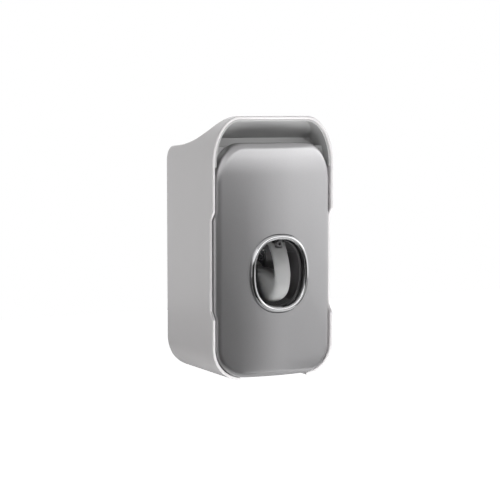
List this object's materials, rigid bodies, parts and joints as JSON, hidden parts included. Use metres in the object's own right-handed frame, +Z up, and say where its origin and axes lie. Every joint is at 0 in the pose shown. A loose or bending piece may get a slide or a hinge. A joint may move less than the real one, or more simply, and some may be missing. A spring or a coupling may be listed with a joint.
{
  "type": "toothpaste dispenser",
  "caption": "Wall-mounted paste dispenser with a hooded shell, a pull-out front unit, a sprung push lever in an oval opening and a brush rack below.",
  "frame": {"origin": "middle of the wall plate's adhesive face, on the wall", "axes": "+X to the right as seen by the user, the front faces -Y, +Z up; +Y points into the wall"},
  "size_m": [0.103, 0.1017, 0.198],
  "materials": {
    "white_abs": "glossy white moulded ABS",
    "liner_abs": "satin light grey moulded ABS",
    "silver_panel": "silver-grey metallic lacquer under clear gloss",
    "ring_chrome": "polished chrome plating",
    "chamber_abs": "glossy black moulded ABS",
    "lever_abs": "smooth pale grey moulded ABS",
    "grey_abs": "matt grey moulded ABS",
    "pump_abs": "matt pale grey moulded ABS",
    "rail_acetal": "waxy natural acetal",
    "screw_steel": "zinc-plated steel",
    "pin_steel": "ground stainless steel",
    "spring_steel": "drawn stainless spring wire",
    "magnet_nickel": "nickel-plated magnet",
    "silicone": "milky translucent silicone",
    "soft_rubber": "matt dark rubber",
    "foam_tape": "grey closed-cell foam tape"
  },
  "bodies": {
    "wall_mount": {"wall_plate": "white_abs", "adhesive_pad": "foam_tape"},
    "housing": {"outer_shell": "white_abs", "hood_liner": "liner_abs", "back_cover": "white_abs", "back_cover_screws": "screw_steel", "brush_rack": "liner_abs", "neck_grips": "soft_rubber", "rack_screws": "screw_steel", "left_rail": "rail_acetal", "right_rail": "rail_acetal", "rail_screws": "screw_steel", "keeper_discs": "screw_steel"},
    "front_module": {"front_panel": "silver_panel", "trim_ring": "ring_chrome", "module_frame": "grey_abs", "frame_screws": "screw_steel", "latch_magnets": "magnet_nickel", "chamber_shell": "chamber_abs", "chamber_screws": "screw_steel", "lever_pin": "pin_steel", "pin_clips": "pin_steel", "outlet_nozzle": "chamber_abs", "outlet_valve": "silicone", "pump_body": "pump_abs", "pump_screws": "screw_steel", "pump_bulb": "silicone", "return_spring": "spring_steel", "bulb_clamp_ring": "grey_abs", "clamp_screws": "screw_steel", "inlet_valve": "silicone", "cover_gasket": "soft_rubber", "pump_cover": "grey_abs", "cover_screws": "screw_steel", "channel_plug": "soft_rubber", "socket_sleeve": "silicone", "tube_gasket": "soft_rubber"},
    "lever": {"push_lever": "lever_abs"}
  },
  "joints": [
    {"name": "housing_lift", "type": "slide", "parent": "wall_mount", "child": "housing", "axis": [0, 0, 1], "range_m": [0, 0.005]},
    {"name": "module_slide", "type": "slide", "parent": "housing", "child": "front_module", "axis": [0, -1, 0], "range_m": [0, 0.08]},
    {"name": "lever_press", "type": "hinge", "parent": "front_module", "child": "lever", "pos_m": [0, -0.082, 0.00395], "axis": [1, 0, 0], "range_deg": [0, 12], "stiffness_Nm_per_rad": 0.8, "springref_deg": -8.59, "deforming": ["pump_bulb", "return_spring"]}
  ]
}
